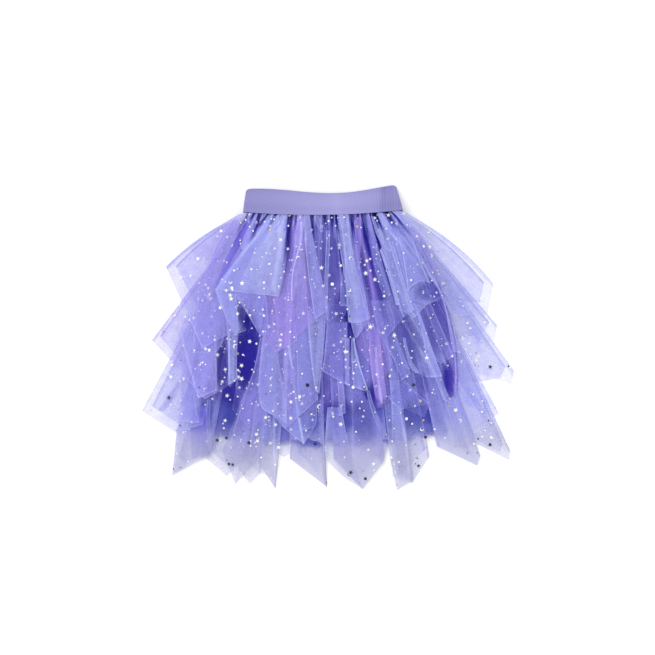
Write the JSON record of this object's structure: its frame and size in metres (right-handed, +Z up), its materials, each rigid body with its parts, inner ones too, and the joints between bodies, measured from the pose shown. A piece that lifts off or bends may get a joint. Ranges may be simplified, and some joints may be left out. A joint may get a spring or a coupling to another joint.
{
  "type": "ruffle skirt",
  "caption": "Girl's layered tulle skirt laid flat: wide elastic waistband, pointed see-through tiers scattered with foil stars, net underskirt and satin lining.",
  "frame": {"origin": "centre of the skirt's outline, on the surface that it lies on", "axes": "+Z up from the surface, out of the skirt's front; +Y towards the waistband; +X across, to the right as the front is seen"},
  "size_m": [0.4832, 0.3925, 0.0384],
  "materials": {
    "ribbed_elastic": "matte ribbed knit",
    "star_tulle": "sheer net with foil stars and dots",
    "net": "plain sheer net",
    "satin": "satin"
  },
  "bodies": {
    "root": {"waistband_front": "ribbed_elastic", "waistband_back": "ribbed_elastic", "tulle_tier_1_front": "star_tulle", "tulle_tier_1_back": "star_tulle", "tulle_tier_2_front": "star_tulle", "tulle_tier_2_back": "star_tulle", "tulle_tier_3_front": "star_tulle", "tulle_tier_3_back": "star_tulle", "tulle_tier_4_front": "star_tulle", "tulle_tier_4_back": "star_tulle", "underskirt_front": "net", "underskirt_back": "net", "lining_front": "satin", "lining_back": "satin"}
  },
  "joints": []
}
